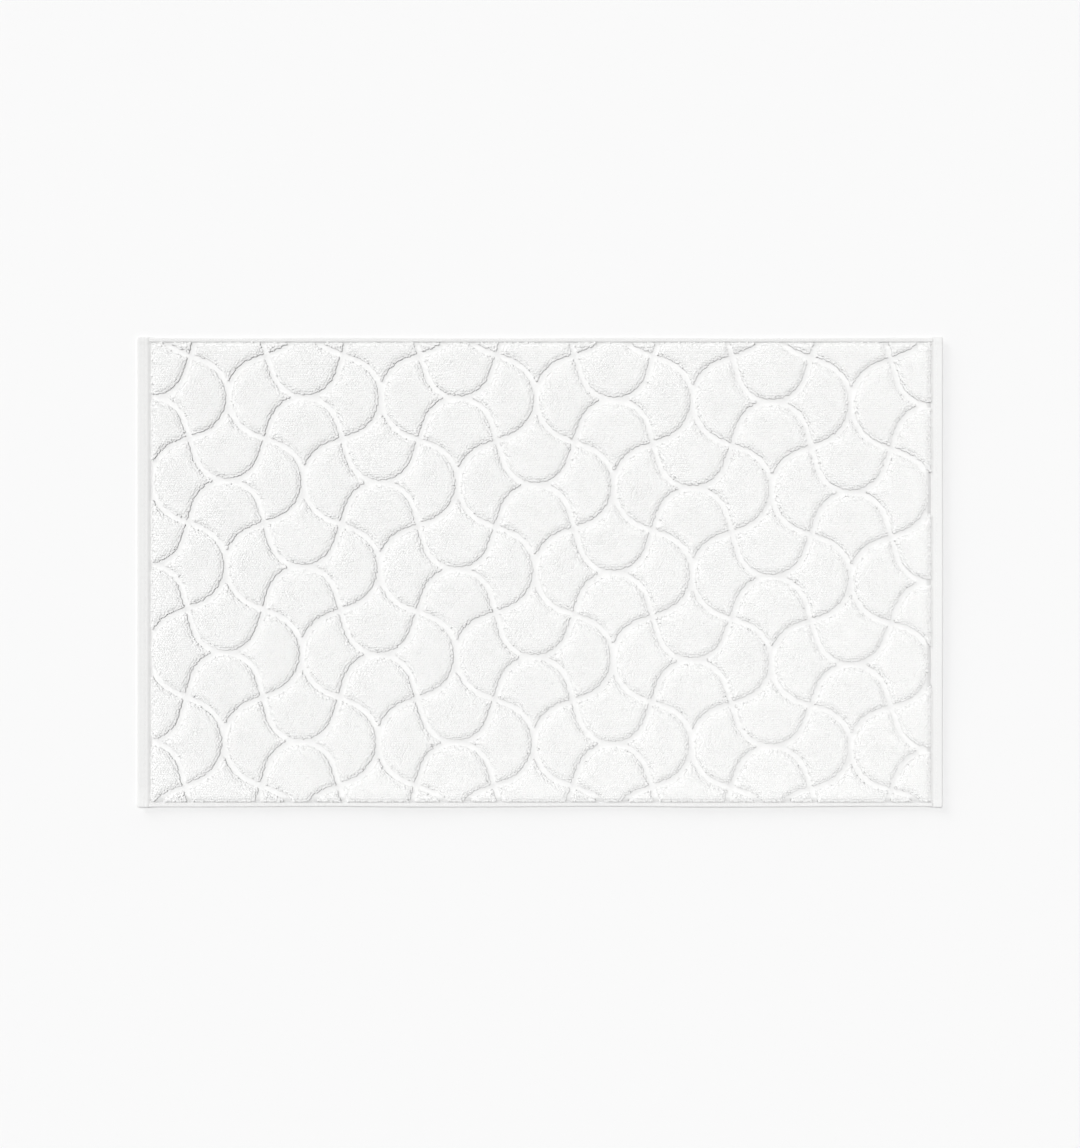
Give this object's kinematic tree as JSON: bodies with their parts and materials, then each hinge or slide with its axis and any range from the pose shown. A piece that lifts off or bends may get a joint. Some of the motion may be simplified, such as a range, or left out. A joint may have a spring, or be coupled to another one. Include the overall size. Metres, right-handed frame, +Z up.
{
  "type": "bath mat",
  "caption": "Rectangular woven cotton bath mat with fan-shaped islands of terry pile between wavy flat channels, and turned, stitched hems.",
  "frame": {"origin": "centre of the mat on the floor, at the level of its underside", "axes": "+X along the long side to the right end, +Y along the short side to the rear, +Z up out of the pile"},
  "size_m": [0.864, 0.504, 0.0065],
  "materials": {
    "ground_weave": "matt white plain-woven cotton",
    "terry_pile": "matt white cotton terry loops",
    "hem_weave": "matt white plain-woven cotton, turned and pressed",
    "sewing_thread": "white spun thread with a slight sheen"
  },
  "bodies": {
    "root": {"ground_cloth": "ground_weave", "pile_upright_fans_row_1": "terry_pile", "pile_upright_fans_row_2": "terry_pile", "pile_upright_fans_row_3": "terry_pile", "pile_upright_fans_row_4": "terry_pile", "pile_upright_fans_row_5": "terry_pile", "pile_upright_fans_row_6": "terry_pile", "pile_sideways_fans_row_1": "terry_pile", "pile_sideways_fans_row_2": "terry_pile", "pile_sideways_fans_row_3": "terry_pile", "pile_sideways_fans_row_4": "terry_pile", "pile_sideways_fans_row_5": "terry_pile", "pile_edge_islands_front": "terry_pile", "pile_edge_islands_rear": "terry_pile", "hem_left": "hem_weave", "hem_right": "hem_weave", "hem_front": "hem_weave", "hem_rear": "hem_weave", "needle_thread_left": "sewing_thread", "needle_thread_right": "sewing_thread", "needle_thread_front": "sewing_thread", "needle_thread_rear": "sewing_thread", "bobbin_thread_left": "sewing_thread", "bobbin_thread_right": "sewing_thread", "bobbin_thread_front": "sewing_thread", "bobbin_thread_rear": "sewing_thread"}
  },
  "joints": []
}
